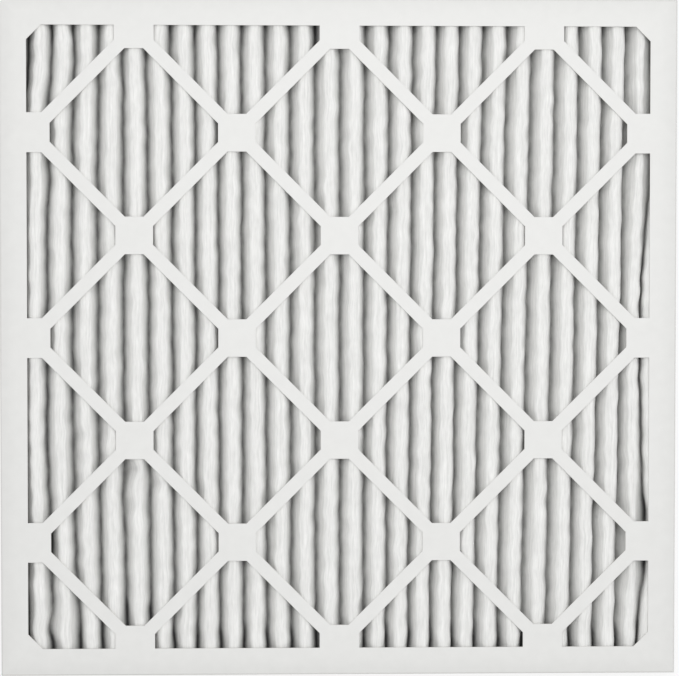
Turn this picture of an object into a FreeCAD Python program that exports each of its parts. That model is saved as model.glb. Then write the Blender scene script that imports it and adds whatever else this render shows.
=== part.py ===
import FreeCAD, Part
import math
import os
import Sketcher

# Pleated panel air filter, 20 x 20 x 1 inch nominal, lying on its air-leaving face.
# +Z is the normal of the air-entering face, the pleats run along Y, and the origin
# is the middle of the air-leaving face. Lengths are in millimetres.

# Each driving size is written here once, and every piece reads it from the sheet.
SIZES = (
    ("panel_width", 495.3),
    ("panel_height", 495.3),
    ("panel_depth", 19.05),
    # folded board frames
    ("board", 0.7),
    ("fold_radius", 1.2),
    ("nest_gap", 0.1),
    ("flange_step", 0.8),
    ("flange_set_back", 1.6),
    ("corner_tab", 25.0),
    # die-cut grid of straps in both faces
    ("border_width", 19.7),
    ("window_columns", 3),
    ("window_rows", 3),
    ("crossing_inset", 3.2),
    ("strap_width", 9.7),
    ("crossing_pad", 27.4),
    ("edge_stub", 29.0),
    ("corner_cut", 10.7),
    # pleated media
    ("pleat_count", 28),
    ("media_thickness", 2.0),
    ("front_fold_radius", 4.7),
    ("pleat_lean", 1.2),
    ("glue_line", 0.1),
    ("bond_gap", 0.05),
    # welded wire grid behind the media
    ("wire_gauge", 0.8),
    ("cross_wires", 6),
    ("cross_wire_margin", 22.0),
    ("long_wire_height", 9.0),
    # adhesive round the pleat pack
    ("end_seal", 1.0),
    ("side_seal", 1.0),
    ("seal_margin", 0.8),
    ("side_seal_height", 9.0),
    ("side_seal_slope", 2.0),
)

doc = FreeCAD.newDocument("pleated_panel_filter")
dims = doc.addObject("Spreadsheet::Sheet", "dims")
for row, (alias, value) in enumerate(SIZES, start=1):
    dims.set(f"A{row}", alias)
    dims.set(f"B{row}", str(value))
    dims.setAlias(f"B{row}", alias)
doc.recompute()

# Places that several pieces share, as expressions in the sheet's sizes.
OUTER_X = "dims.panel_width / 2"
OUTER_Y = "dims.panel_height / 2"
NESTED_X = f"({OUTER_X} - dims.board - dims.nest_gap)"
NESTED_Y = f"({OUTER_Y} - 2 * dims.board - dims.nest_gap)"
WALL_X = f"({NESTED_X} - dims.board)"
WALL_Y = f"({NESTED_Y} - dims.board)"
TAB_Y = f"({WALL_Y} - dims.board)"
PACK_X = f"({WALL_X} - dims.side_seal)"
PACK_Y = f"({TAB_Y} - dims.end_seal)"
PITCH = f"(2 * {PACK_X} / dims.pleat_count)"
WIRE_LOW = "(dims.board + dims.glue_line)"
MEDIA_LOW = f"({WIRE_LOW} + dims.wire_gauge + dims.bond_gap)"
MEDIA_HIGH = "(dims.panel_depth - dims.board - dims.glue_line)"
CREASE_Z = f"({MEDIA_LOW} + dims.media_thickness)"
FRONT_X = f"({PITCH} / 2 + dims.pleat_lean)"
FRONT_Z = f"({MEDIA_HIGH} - dims.front_fold_radius)"
OPEN_X = f"({OUTER_X} - dims.border_width)"
OPEN_Y = f"({OUTER_Y} - dims.border_width)"
HALF_X = f"(({OPEN_X} - dims.crossing_inset) / dims.window_columns)"
HALF_Y = f"(({OPEN_Y} - dims.crossing_inset) / dims.window_rows)"
HALF_PAD = "dims.crossing_pad / 2"
HALF_STUB = "dims.edge_stub / 2"
# How far a strap's edge stands from its middle line, as a share of the lattice's step.
STRAP_SHARE = f"(dims.strap_width / 2 * sqrt(1 / {HALF_X} ^ 2 + 1 / {HALF_Y} ^ 2))"


def value_of(expression):
    """The number that an expression in the sheet's sizes stands for."""
    return float(dims.evalExpression(expression))


def origin_feature(body, role):
    """One of a body's own origin planes or axes, found by its role."""
    return next(item for item in body.Origin.OriginFeatures if item.Role == role)


def new_body(name):
    body = doc.addObject("PartDesign::Body", name)
    body.Label = name
    return body


def new_sketch(body, name, plane, offset="0"):
    """An empty sketch on an origin plane, moved along that plane's normal."""
    sketch = body.newObject("Sketcher::SketchObject", name)
    sketch.AttachmentSupport = [(origin_feature(body, plane), "")]
    sketch.MapMode = "FlatFace"
    sketch.setExpression("AttachmentOffset.Base.z", offset)
    return sketch


def arc_between(start, end, radius, left):
    """The shorter arc from start to end, bulging away from a centre on its left or right."""
    chord = end.sub(start)
    rise = math.sqrt(radius ** 2 - (chord.Length / 2) ** 2)
    across = FreeCAD.Vector(-chord.y, chord.x, 0).normalize().multiply(rise if left else -rise)
    centre = start.add(chord.multiply(0.5)).add(across)
    circle = Part.Circle(centre, FreeCAD.Vector(0, 0, 1), radius)
    ends = (start, end) if left else (end, start)
    return Part.ArcOfCircle(circle, *(circle.parameter(point) for point in ends))


def add_outline(sketch, corners, arc_side=None, arc_radius="0", arc_left=True):
    """A closed outline; each corner is a pair of expressions that stay bound to it.

    The side that starts at corner number arc_side is an arc, the others are straight.
    """
    places = [FreeCAD.Vector(value_of(x), value_of(y), 0) for x, y in corners]
    first = sketch.GeometryCount
    count = len(places)
    ends = []
    for index in range(count):
        here, there = places[index], places[(index + 1) % count]
        if index == arc_side:
            side = arc_between(here, there, value_of(arc_radius), arc_left)
            ends.append((1, 2) if arc_left else (2, 1))
        else:
            side = Part.LineSegment(here, there)
            ends.append((1, 2))
        sketch.addGeometry(side, False)
    for index in range(count):
        following = (index + 1) % count
        sketch.addConstraint(Sketcher.Constraint(
            "Coincident", first + index, ends[index][1], first + following, ends[following][0]
        ))
    for index, (corner, place) in enumerate(zip(corners, places)):
        for kind, expression, start in (
            ("DistanceX", corner[0], place.x),
            ("DistanceY", corner[1], place.y),
        ):
            bound = sketch.addConstraint(
                Sketcher.Constraint(kind, -1, 1, first + index, ends[index][0], start)
            )
            sketch.setExpression(f"Constraints[{bound}]", expression)
    if arc_side is not None:
        bound = sketch.addConstraint(
            Sketcher.Constraint("Radius", first + arc_side, value_of(arc_radius))
        )
        sketch.setExpression(f"Constraints[{bound}]", arc_radius)


def rectangle(low_x, high_x, low_y, high_y):
    return [(low_x, low_y), (high_x, low_y), (high_x, high_y), (low_x, high_y)]


def pad(body, name, sketch, length, downward=False, both_ways=False):
    feature = body.newObject("PartDesign::Pad", name)
    feature.Profile = sketch
    feature.setExpression("Length", length)
    feature.Reversed = downward
    if both_ways:
        feature.SideType = "Symmetric"
    doc.recompute()
    return feature


def pocket(body, name, sketch, length, upward=False):
    """Cut the sketch's outlines out of the body, and stop if nothing was cut."""
    before = body.Shape.Volume
    feature = body.newObject("PartDesign::Pocket", name)
    feature.Profile = sketch
    feature.setExpression("Length", length)
    feature.Reversed = upward
    doc.recompute()
    if body.Shape.Volume >= before:
        raise RuntimeError(f"{name} cut nothing out of {body.Label}")
    return feature


# An entry of this kind in a pattern's list of spacings means the common spacing.
EVEN_SPACING = -1.0


def pattern(body, name, feature, roles, counts, spacings):
    """Repeat a feature along one or two of the body's axes."""
    repeat = body.newObject("PartDesign::LinearPattern", name)
    repeat.Originals = [feature]
    for suffix, role, count, spacing in zip(("", "2"), roles, counts, spacings):
        setattr(repeat, "Direction" + suffix, (origin_feature(body, role), [""]))
        setattr(repeat, "Mode" + suffix, "Spacing")
        repeat.setExpression("Occurrences" + suffix, count)
        repeat.setExpression("Offset" + suffix, spacing)
        doc.recompute()
        gaps = getattr(repeat, "Occurrences" + suffix) - 1
        setattr(repeat, "Spacings" + suffix, [EVEN_SPACING] * gaps)
    body.Tip = repeat
    doc.recompute()
    return repeat


def name_of_face(shape, face):
    """The name that a shape gives to one of its faces."""
    numbers = enumerate(shape.Faces, start=1)
    return next(f"Face{number}" for number, other in numbers if other.isSame(face))


def round_face_edges(body, name, base, face, radius):
    """Round every edge of one face, as a board rounds where it is folded."""
    feature = body.newObject("PartDesign::Fillet", name)
    feature.Base = (base, [name_of_face(base.Shape, face)])
    feature.setExpression("Radius", radius)
    doc.recompute()
    return feature


def thin_walls(body, name, base, open_face, thickness):
    """Keep only a wall of the given thickness inside the body's skin, open at one face."""
    feature = body.newObject("PartDesign::Thickness", name)
    feature.Base = (base, [name_of_face(base.Shape, open_face)])
    feature.setExpression("Value", thickness)
    feature.Reversed = True
    doc.recompute()
    return feature


def full_window(centre_x, centre_y):
    """A diamond between four straps, its points cut off by the crossing pads."""
    wide = f"({HALF_X} - {HALF_PAD})"
    tall = f"({HALF_Y} - {HALF_PAD})"
    side = f"({HALF_Y} * (1 - {STRAP_SHARE} - {wide} / {HALF_X}))"
    top = f"({HALF_X} * (1 - {STRAP_SHARE} - {tall} / {HALF_Y}))"
    turns = ((wide, side), (top, tall), (f"-{top}", tall), (f"-{wide}", side))
    upper = [(f"{centre_x} + {x}", f"{centre_y} + {y}") for x, y in turns]
    lower = [(f"{centre_x} + {x}", f"{centre_y} - {y}") for x, y in reversed(turns)]
    return upper + lower


def side_window(across, along, half_across, half_along, sign):
    """Half a diamond against the border, in (along, across) order of coordinates."""
    outer = f"{across} - dims.crossing_inset"
    shoulder = f"({outer} - {half_across} * ({HALF_STUB} / {half_along} - {STRAP_SHARE}))"
    inner = f"({outer} - {half_across} + {HALF_PAD})"
    flat = f"({half_along} * ({HALF_PAD} / {half_across} - {STRAP_SHARE}))"
    corner = f"({half_along} - {HALF_STUB})"
    turns = (
        (f"-{corner}", across),
        (corner, across),
        (corner, shoulder),
        (flat, inner),
        (f"-{flat}", inner),
        (f"-{corner}", shoulder),
    )
    return [(f"{along} + {shift}", f"{sign} * {reach}") for shift, reach in turns]


def corner_window(sign_x, sign_y):
    """The small window in a corner, with the die's cut across its outer point."""
    outer_x = f"{OPEN_X} - dims.crossing_inset"
    outer_y = f"{OPEN_Y} - dims.crossing_inset"
    reach_x = f"({outer_x} - {HALF_X} + {HALF_STUB})"
    reach_y = f"({outer_y} - {HALF_Y} + {HALF_STUB})"
    shoulder_x = f"({outer_x} - {HALF_X} * ({HALF_STUB} / {HALF_Y} - {STRAP_SHARE}))"
    shoulder_y = f"({outer_y} - {HALF_Y} * ({HALF_STUB} / {HALF_X} - {STRAP_SHARE}))"
    turns = (
        (reach_x, OPEN_Y),
        (f"({OPEN_X} - dims.corner_cut)", OPEN_Y),
        (OPEN_X, f"({OPEN_Y} - dims.corner_cut)"),
        (OPEN_X, reach_y),
        (shoulder_x, reach_y),
        (reach_x, shoulder_y),
    )
    return [(f"{sign_x} * {x}", f"{sign_y} * {y}") for x, y in turns]


def cut_windows(body):
    """Die-cut the face: what stays between the windows is the grid of straps."""
    deep = "2 * dims.board"
    steps = (f"2 * {HALF_X}", f"2 * {HALF_Y}")
    axes = ("X_Axis", "Y_Axis")
    first_x = f"(-{OPEN_X} + dims.crossing_inset + {HALF_X})"
    first_y = f"(-{OPEN_Y} + dims.crossing_inset + {HALF_Y})"
    next_x = f"({first_x} + {HALF_X})"
    next_y = f"({first_y} + {HALF_Y})"
    fewer = ("dims.window_columns - 1", "dims.window_rows - 1")

    sketch = new_sketch(body, "whole_diamond", "XY_Plane")
    add_outline(sketch, full_window(first_x, first_y))
    cut = pocket(body, "whole_diamond_cut", sketch, deep)
    counts = ("dims.window_columns", "dims.window_rows")
    pattern(body, "whole_diamonds", cut, axes, counts, steps)

    sketch = new_sketch(body, "between_diamond", "XY_Plane")
    add_outline(sketch, full_window(next_x, next_y))
    cut = pocket(body, "between_diamond_cut", sketch, deep)
    pattern(body, "between_diamonds", cut, axes, fewer, steps)

    sketch = new_sketch(body, "top_and_bottom_half", "XY_Plane")
    for sign in ("1", "-1"):
        add_outline(sketch, side_window(OPEN_Y, next_x, HALF_Y, HALF_X, sign))
    cut = pocket(body, "top_and_bottom_half_cut", sketch, deep)
    pattern(body, "top_and_bottom_halves", cut, axes[:1], fewer[:1], steps[:1])

    sketch = new_sketch(body, "left_and_right_half", "XY_Plane")
    for sign in ("1", "-1"):
        turned = side_window(OPEN_X, next_y, HALF_X, HALF_Y, sign)
        add_outline(sketch, [(across, along) for along, across in turned])
    cut = pocket(body, "left_and_right_half_cut", sketch, deep)
    pattern(body, "left_and_right_halves", cut, axes[1:], fewer[1:], steps[1:])

    sketch = new_sketch(body, "corners", "XY_Plane")
    for sign_x in ("1", "-1"):
        for sign_y in ("1", "-1"):
            add_outline(sketch, corner_window(sign_x, sign_y))
    pocket(body, "corners_cut", sketch, deep)


def folded_tray(name, half_x, half_y, flange):
    """A die-cut board tray with its face at z = 0 and its flanges hanging below."""
    body = new_body(name)
    blank = new_sketch(body, "blank", "XY_Plane")
    add_outline(blank, rectangle(f"-{half_x}", half_x, f"-{half_y}", half_y))
    block = pad(body, "folded_block", blank, flange, downward=True)
    highest = max(block.Shape.Faces, key=lambda face: face.CenterOfMass.z)
    rounded = round_face_edges(body, "face_folds", block, highest, "dims.fold_radius")
    lowest = min(rounded.Shape.Faces, key=lambda face: face.CenterOfMass.z)
    thin_walls(body, "board_walls", rounded, lowest, "dims.board")

    # The side flanges carry glue tabs that turn the corner behind the other flanges.
    tabs = new_sketch(body, "glue_tabs", "XY_Plane", f"-{flange}")
    ends = new_sketch(body, "flange_ends", "XY_Plane", f"-{flange}")
    for sign_x in ("1", "-1"):
        for sign_y in ("1", "-1"):
            add_outline(tabs, rectangle(
                f"{sign_x} * ({half_x} - dims.board - dims.corner_tab)",
                f"{sign_x} * ({half_x} - dims.board)",
                f"{sign_y} * ({half_y} - 2 * dims.board)",
                f"{sign_y} * ({half_y} - dims.board)",
            ))
            flap = f"({half_y} - dims.board)"
            turn = f"({half_x} - dims.fold_radius)"
            outside_x = f"({half_x} + dims.board)"
            relief = (
                (f"({half_x} - dims.flange_set_back)", f"({half_y} + dims.board)"),
                (f"({half_x} - dims.flange_set_back)", flap),
                (turn, flap),
                (half_x, f"({flap} - dims.fold_radius)"),
                (outside_x, f"({flap} - dims.fold_radius)"),
                (outside_x, f"({half_y} + dims.board)"),
            )
            add_outline(
                ends,
                [(f"{sign_x} * {x}", f"{sign_y} * {y}") for x, y in relief],
                arc_side=2,
                arc_radius="dims.fold_radius",
                arc_left=sign_x != sign_y,
            )
    pad(body, "glue_tabs_pad", tabs, f"({flange} - dims.fold_radius)")
    pocket(body, "flange_ends_cut", ends, f"({flange} - 2 * dims.fold_radius)", upward=True)
    cut_windows(body)
    return body


def front_frame():
    tray = folded_tray(
        "front_frame", OUTER_X, OUTER_Y, "(dims.panel_depth - dims.flange_step)"
    )
    tray.setExpression("Placement.Base.z", "dims.panel_depth")
    return tray


def back_frame():
    """The same tray a board smaller, turned over and nested in the front one."""
    tray = folded_tray(
        "back_frame", NESTED_X, NESTED_Y, f"({MEDIA_HIGH} - dims.flange_step)"
    )
    tray.Placement = FreeCAD.Placement(
        FreeCAD.Vector(), FreeCAD.Rotation(FreeCAD.Vector(1, 0, 0), 180)
    )
    return tray


def flank_tilt(across, upward, radius):
    """Angle from upright of the line from a crease that just touches a fold's circle."""
    return math.atan2(across, upward) - math.asin(radius / math.hypot(across, upward))


def pleat_section():
    """One pleat's crease, front fold centre and next crease, with its flanks' tilts."""
    pitch = value_of(PITCH)
    crease_z = value_of(CREASE_Z)
    front_x = value_of(FRONT_X)
    front_z = value_of(FRONT_Z)
    radius = value_of("dims.front_fold_radius")
    rising = flank_tilt(front_x, front_z - crease_z, radius)
    falling = flank_tilt(pitch - front_x, front_z - crease_z, radius)
    folds = (
        FreeCAD.Vector(0, crease_z, 0),
        FreeCAD.Vector(front_x, front_z, 0),
        FreeCAD.Vector(pitch, crease_z, 0),
    )
    return folds, rising, falling


def filter_media():
    """One pleated sheet: a pleat from crease to crease, padded and repeated."""
    body = new_body("filter_media")
    sketch = new_sketch(body, "pleat", "XZ_Plane")
    (crease, front, next_crease), rising, falling = pleat_section()
    thickness = value_of("dims.media_thickness")
    radius = value_of("dims.front_fold_radius")

    def arc(centre, size, start, end):
        circle = Part.Circle(centre, FreeCAD.Vector(0, 0, 1), size)
        return Part.ArcOfCircle(circle, start, end)

    bottom = math.pi * 3 / 2
    back_left = arc(crease, thickness, bottom, 2 * math.pi - rising)
    inside = arc(front, radius - thickness, falling, math.pi - rising)
    back_right = arc(next_crease, thickness, math.pi + falling, bottom)
    crown = arc(front, radius, falling, math.pi - rising)
    # The outline runs along the air-leaving side and back along the air-entering one.
    sketch.addGeometry([
        back_left,
        Part.LineSegment(back_left.EndPoint, inside.EndPoint),
        inside,
        Part.LineSegment(inside.StartPoint, back_right.StartPoint),
        back_right,
        Part.LineSegment(back_right.EndPoint, next_crease),
        Part.LineSegment(next_crease, crown.StartPoint),
        crown,
        Part.LineSegment(crown.EndPoint, crease),
        Part.LineSegment(crease, back_left.StartPoint),
    ], False)
    joints = (
        ("Tangent", 0, 2, 1, 1),
        ("Tangent", 1, 2, 2, 2),
        ("Tangent", 2, 1, 3, 1),
        ("Tangent", 3, 2, 4, 1),
        ("Coincident", 4, 2, 5, 1),
        ("Coincident", 5, 2, 6, 1),
        ("Tangent", 6, 2, 7, 1),
        ("Tangent", 7, 2, 8, 1),
        ("Coincident", 8, 2, 9, 1),
        ("Coincident", 9, 2, 0, 1),
        ("Coincident", 9, 1, 0, 3),
        ("Coincident", 5, 2, 4, 3),
        ("Coincident", 7, 3, 2, 3),
        ("Vertical", 5),
        ("Vertical", 9),
    )
    for joint in joints:
        sketch.addConstraint(Sketcher.Constraint(*joint))
    centre = 3
    sizes = (
        ("Radius", (7,), radius, "dims.front_fold_radius"),
        ("Radius", (2,), radius - thickness, "dims.front_fold_radius - dims.media_thickness"),
        ("Radius", (0,), thickness, "dims.media_thickness"),
        ("Radius", (4,), thickness, "dims.media_thickness"),
        ("DistanceX", (-1, 1, 0, centre), crease.x, "0"),
        ("DistanceY", (-1, 1, 0, centre), crease.y, CREASE_Z),
        ("DistanceX", (-1, 1, 2, centre), front.x, FRONT_X),
        ("DistanceY", (-1, 1, 2, centre), front.y, FRONT_Z),
        ("DistanceX", (-1, 1, 4, centre), next_crease.x, PITCH),
        ("DistanceY", (-1, 1, 4, centre), next_crease.y, CREASE_Z),
    )
    for kind, where, start, expression in sizes:
        bound = sketch.addConstraint(Sketcher.Constraint(kind, *where, start))
        sketch.setExpression(f"Constraints[{bound}]", expression)
    pleat = pad(body, "pleat_pad", sketch, f"2 * {PACK_Y}", both_ways=True)
    pattern(body, "pleats", pleat, ("X_Axis",), ("dims.pleat_count",), (PITCH,))
    body.setExpression("Placement.Base.x", f"-{PACK_X}")
    return body


def beside(path, distance):
    """The same open path moved sideways to its right, with mitred corners."""
    lines = []
    for start, end in zip(path, path[1:]):
        along = end.sub(start).normalize()
        lines.append((start.add(FreeCAD.Vector(along.z, 0, -along.x).multiply(distance)), along))
    moved = [lines[0][0]]
    for (one, one_way), (other, other_way) in zip(lines, lines[1:]):
        turn = one_way.cross(other_way).y
        reach = other.sub(one).cross(other_way).y / turn
        moved.append(one.add(FreeCAD.Vector(one_way).multiply(reach)))
    length = path[-1].sub(path[-2]).Length
    moved.append(lines[-1][0].add(FreeCAD.Vector(lines[-1][1]).multiply(length)))
    return moved


def wire_path():
    """The line of a cross wire against the media's air-leaving side, pleat after pleat."""
    folds, rising, falling = pleat_section()
    gap = value_of("dims.bond_gap")
    inside = value_of("dims.front_fold_radius - dims.media_thickness") - gap
    outside = value_of("dims.media_thickness") + gap
    floor = folds[0].y - outside

    def corner(fold, side, tilt):
        """Where the flank's line meets the flat under a back fold."""
        reach = outside * math.tan((math.pi / 2 - tilt) / 2)
        return fold.x + side * reach, floor

    def crest(side, tilt):
        """The last point of the flank inside the front fold."""
        return (
            folds[1].x + side * inside * math.cos(tilt),
            folds[1].y + inside * math.sin(tilt),
        )

    pleat = (
        corner(folds[0], 1, rising),
        crest(-1, rising),
        crest(1, falling),
        corner(folds[2], -1, falling),
    )
    count = round(value_of("dims.pleat_count"))
    path = [(0.0, floor)]
    for number in range(count):
        path += [(x + number * folds[2].x, z) for x, z in pleat]
    path.append((count * folds[2].x, floor))
    return [FreeCAD.Vector(x, 0, z) for x, z in path]


def bar(section, low_y, high_y):
    """A straight bar along Y with a closed section in the XZ plane."""
    face = Part.Face(Part.makePolygon(section + section[:1]))
    face.translate(FreeCAD.Vector(0, low_y, 0))
    return face.extrude(FreeCAD.Vector(0, high_y - low_y, 0))


def wire_backing():
    """Wires folded with the media, and straight ones welded along its flanks."""
    gauge = value_of("dims.wire_gauge")
    pack_y = value_of(PACK_Y)
    top = wire_path()
    under = beside(top, gauge)
    count = round(value_of("dims.cross_wires"))
    reach = pack_y - value_of("dims.cross_wire_margin")
    wires = []
    for number in range(count):
        middle = reach * (2 * number / (count - 1) - 1)
        wires.append(bar(top + under[::-1], middle - gauge / 2, middle + gauge / 2))
    height = value_of(f"{WIRE_LOW} + dims.long_wire_height")
    for start, end in zip(under, under[1:]):
        if (start.z - height) * (end.z - height) < 0:
            share = (height - start.z) / (end.z - start.z)
            seat = start.add(end.sub(start).multiply(share))
            along = end.sub(start).normalize().multiply(gauge)
            out = FreeCAD.Vector(along.z, 0, -along.x)
            section = [seat, seat.add(along), seat.add(along).add(out), seat.add(out)]
            wires.append(bar(section, -pack_y, pack_y))
    grid = doc.addObject("Part::Feature", "wire_backing")
    grid.Shape = Part.makeCompound(wires)
    grid.Placement.Base.x = -value_of(PACK_X)
    return grid


def end_seal(name, sign):
    """Adhesive that fills the space between the pleat ends and the nested frame."""
    body = new_body(name)
    low = "(dims.board + dims.seal_margin)"
    sketch = new_sketch(body, "seal_plan", "XY_Plane", low)
    between_tabs = f"({WALL_X} - dims.corner_tab)"
    corners = [(WALL_X, PACK_Y), (WALL_X, TAB_Y), (between_tabs, TAB_Y), (between_tabs, WALL_Y)]
    mirrored = [(f"-{x}", y) for x, y in reversed(corners)]
    add_outline(sketch, [(x, f"{sign} * {y}") for x, y in corners + mirrored])
    pad(body, "seal_strip", sketch, f"dims.panel_depth - 2 * {low}")
    return body


def side_seal(name, sign):
    """Adhesive between the media's cut edge and the nested frame's flange."""
    body = new_body(name)
    sketch = new_sketch(body, "seal_section", "XZ_Plane")
    low = "(dims.board + dims.seal_margin)"
    corners = (
        (WALL_X, low),
        (PACK_X, low),
        (PACK_X, "dims.side_seal_height"),
        (WALL_X, "(dims.side_seal_height + dims.side_seal_slope)"),
    )
    add_outline(sketch, [(f"{sign} * {x}", z) for x, z in corners])
    pad(body, "seal_strip", sketch, f"2 * {PACK_Y}", both_ways=True)
    return body


parts = [
    front_frame(),
    back_frame(),
    filter_media(),
    wire_backing(),
    end_seal("end_seal_top", "1"),
    end_seal("end_seal_bottom", "-1"),
    side_seal("side_seal_left", "-1"),
    side_seal("side_seal_right", "1"),
]
doc.recompute()

for item in doc.Objects:
    if "Invalid" in item.State or "Error" in item.State:
        raise RuntimeError(f"{item.Label} failed: {item.State}")
for part in parts:
    if part.Shape.isNull() or not part.Shape.isValid():
        raise RuntimeError(f"{part.Label} has no valid shape")

os.makedirs("parts", exist_ok=True)
for part in parts:
    part.Shape.exportStep(f"parts/{part.Label}.step")
    print(part.Label, len(part.Shape.Solids), "solid(s)", round(part.Shape.Volume), "mm3")
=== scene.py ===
# %% [markdown]
# # A pleated panel air filter
# A filter of this kind is a zigzag of white fibre fleece, stiffened from behind by a grid
# of thin wires, and boxed in by two folded trays of white board whose faces are cut into
# a net of diagonal straps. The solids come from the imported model, which is loaded here
# as a fixed frame. Everything below is made in metres, in that same frame.

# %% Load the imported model
import math

import bpy
import numpy as np
from mathutils import Matrix, Vector


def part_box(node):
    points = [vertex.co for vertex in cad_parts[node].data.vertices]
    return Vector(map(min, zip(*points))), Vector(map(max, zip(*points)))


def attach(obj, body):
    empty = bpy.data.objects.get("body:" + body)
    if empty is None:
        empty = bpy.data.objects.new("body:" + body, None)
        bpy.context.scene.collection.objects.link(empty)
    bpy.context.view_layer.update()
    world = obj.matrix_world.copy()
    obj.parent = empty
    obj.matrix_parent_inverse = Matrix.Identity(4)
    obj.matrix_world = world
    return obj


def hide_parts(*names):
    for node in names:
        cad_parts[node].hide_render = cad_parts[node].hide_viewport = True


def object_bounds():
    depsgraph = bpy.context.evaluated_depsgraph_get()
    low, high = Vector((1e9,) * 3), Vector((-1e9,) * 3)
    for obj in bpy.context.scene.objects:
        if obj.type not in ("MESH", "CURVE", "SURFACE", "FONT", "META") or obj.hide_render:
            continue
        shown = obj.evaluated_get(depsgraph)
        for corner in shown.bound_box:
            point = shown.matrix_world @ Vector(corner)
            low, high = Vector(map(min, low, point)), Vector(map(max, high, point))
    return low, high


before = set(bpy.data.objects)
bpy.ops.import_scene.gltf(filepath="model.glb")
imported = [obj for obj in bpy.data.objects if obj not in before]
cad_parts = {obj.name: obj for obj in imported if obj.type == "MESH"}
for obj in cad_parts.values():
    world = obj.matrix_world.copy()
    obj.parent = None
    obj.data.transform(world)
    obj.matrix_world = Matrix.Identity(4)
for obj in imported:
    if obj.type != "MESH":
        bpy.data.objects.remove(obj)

SOLID_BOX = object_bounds()


def in_mm(box):
    """The two corners of a box in millimetres, rounded for print."""
    return [[round(1000 * c, 2) for c in corner] for corner in box]


print("solids", sorted(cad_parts))
print("box of the solids in mm", in_mm(SOLID_BOX))

# %% [markdown]
# ## Sizes
# The fleece and its wires are worked out in millimetres, which are easier to think in,
# and turned to metres when the mesh is made. The pack's outer sizes could be typed in,
# but they are read from the solid, so they follow it if it changes. There are 28 pleats,
# each with a sharp crease behind and a round fold in front, which stops a hair below the
# straps. The folds are a little wider than the solid's, fuller at their shoulders than a
# circle, and lean a little to the right, as in the photograph.

# %% Sizes of the pleat pack, in mm
MM = 0.001
pack_low, pack_high = (np.array(corner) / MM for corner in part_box("filter_media"))
ENDS = (pack_low[1], pack_high[1])
PLEATS = 28
PITCH = (pack_high[0] - pack_low[0]) / PLEATS
FLEECE = 2.0  # thickness of the sheet
CREASE_RADIUS = 0.06  # of the front face, round a crease
CREASE_Z = pack_low[2] + FLEECE + CREASE_RADIUS
FOLD_RADIUS = 5.5  # of the front face, over a full fold
FOLD_Z = pack_high[2] - FOLD_RADIUS
SLIMMER = 0.25  # what an average fold lacks of the full radius
LOWER = 0.3  # what an average fold lacks of the full height
SHOULDER = 0.07  # share of the radius by which a fold bulges at its shoulders
LEAN = 1.1  # how far a fold lies right of the middle between its creases
# The right flank of the last fold slants far out to the glued edge. So this fold isn't
# half way between its creases, but keeps this distance from the left one.
LAST_FOLD = 5.6
WIRE = 0.8  # diameter
print(f"pleat pack {pack_high - pack_low} mm, one pleat every {PITCH:.2f} mm")

# %% [markdown]
# ## How a pleat wanders
# Real pleats are pushed into place by hand, so no crease is straight. Each one drifts
# with its neighbours, and wavers by a fraction of a millimetre on its own over the span
# of a few wires. Noise textures or a cloth simulation could do this too, but a sum of a
# few sine waves is smooth and cheap, and the same in every run because its random phases
# have a seed. The waves' sizes were set one by one. The drift's numbers were fitted to
# creases traced in the photograph, and rounded. The drift is left out at both sides of
# the pack, where the fleece is glued to the frame.

# %% Smooth wandering of lines
chance = np.random.default_rng(28)


def waver(lines, waves):
    """A function that gives one smooth random line per row: a sum of sine waves, each
    (wavelength, amplitude) in mm, whose phases are drawn once for each line."""
    phases = chance.uniform(0, 2 * np.pi, (len(waves), lines, 1))
    length, height = np.array(waves).T[:, :, None, None]
    return lambda along: (height * np.sin(2 * np.pi * along / length + phases)).sum(axis=0)


crease_waver = waver(PLEATS + 1, [(18, 0.13), (26, 0.16), (40, 0.15), (68, 0.15), (150, 0.2)])
fold_waver = waver(PLEATS, [(17, 0.1), (24, 0.12), (45, 0.12)])
girth_waver = waver(PLEATS, [(15, 0.1), (19, 0.17), (29, 0.2)])
sag_waver = waver(PLEATS, [(47, 0.1), (90, 0.12)])


def near(value, place, reach):
    """A smooth bump that is 1 at the place: exp(-((value - place) / reach) ** 2)."""
    return np.exp(-(((value - place) / reach) ** 2))


def ramp(value, start, span):
    """0 up to the start, 1 from one span beyond it, and a straight rise in between."""
    return np.clip((value - start) / span, 0, 1)


def drift(crease, along):
    """Shift of crease number 0 to 28 that neighbours have in common, in mm. v runs from
    -1 to 1 along the pleats. The terms are a slow swell across the pack, a ripple with a
    wavelength of nine pleats and a half, a slant that sets in over ten pleats from the
    eleventh, a bow of the first creases, and a crowding of the last ones."""
    share, v = crease / PLEATS, along / pack_high[1]
    onset = ramp(crease, 11, 10)
    onset = onset ** 2 * (3 - 2 * onset)
    swell = np.sin(np.pi * share) - 1.1
    ripple = 1.2 * np.cos(2 * np.pi * (crease - 5.8) / 9.5)
    slant = (4.3 * onset - 0.9) * v
    bow = -2.9 * (1 - v ** 2) * near(crease, 2, 3.9)
    crowding = -3.0 * share ** 7.5
    return np.where(crease % PLEATS == 0, 0, swell + ripple + slant + bow + crowding)


all_drift = drift(np.arange(PLEATS + 1)[:, None], np.linspace(*ENDS, 9))
print(f"the drift runs from {all_drift.min():.1f} to {all_drift.max():.1f} mm")
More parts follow.
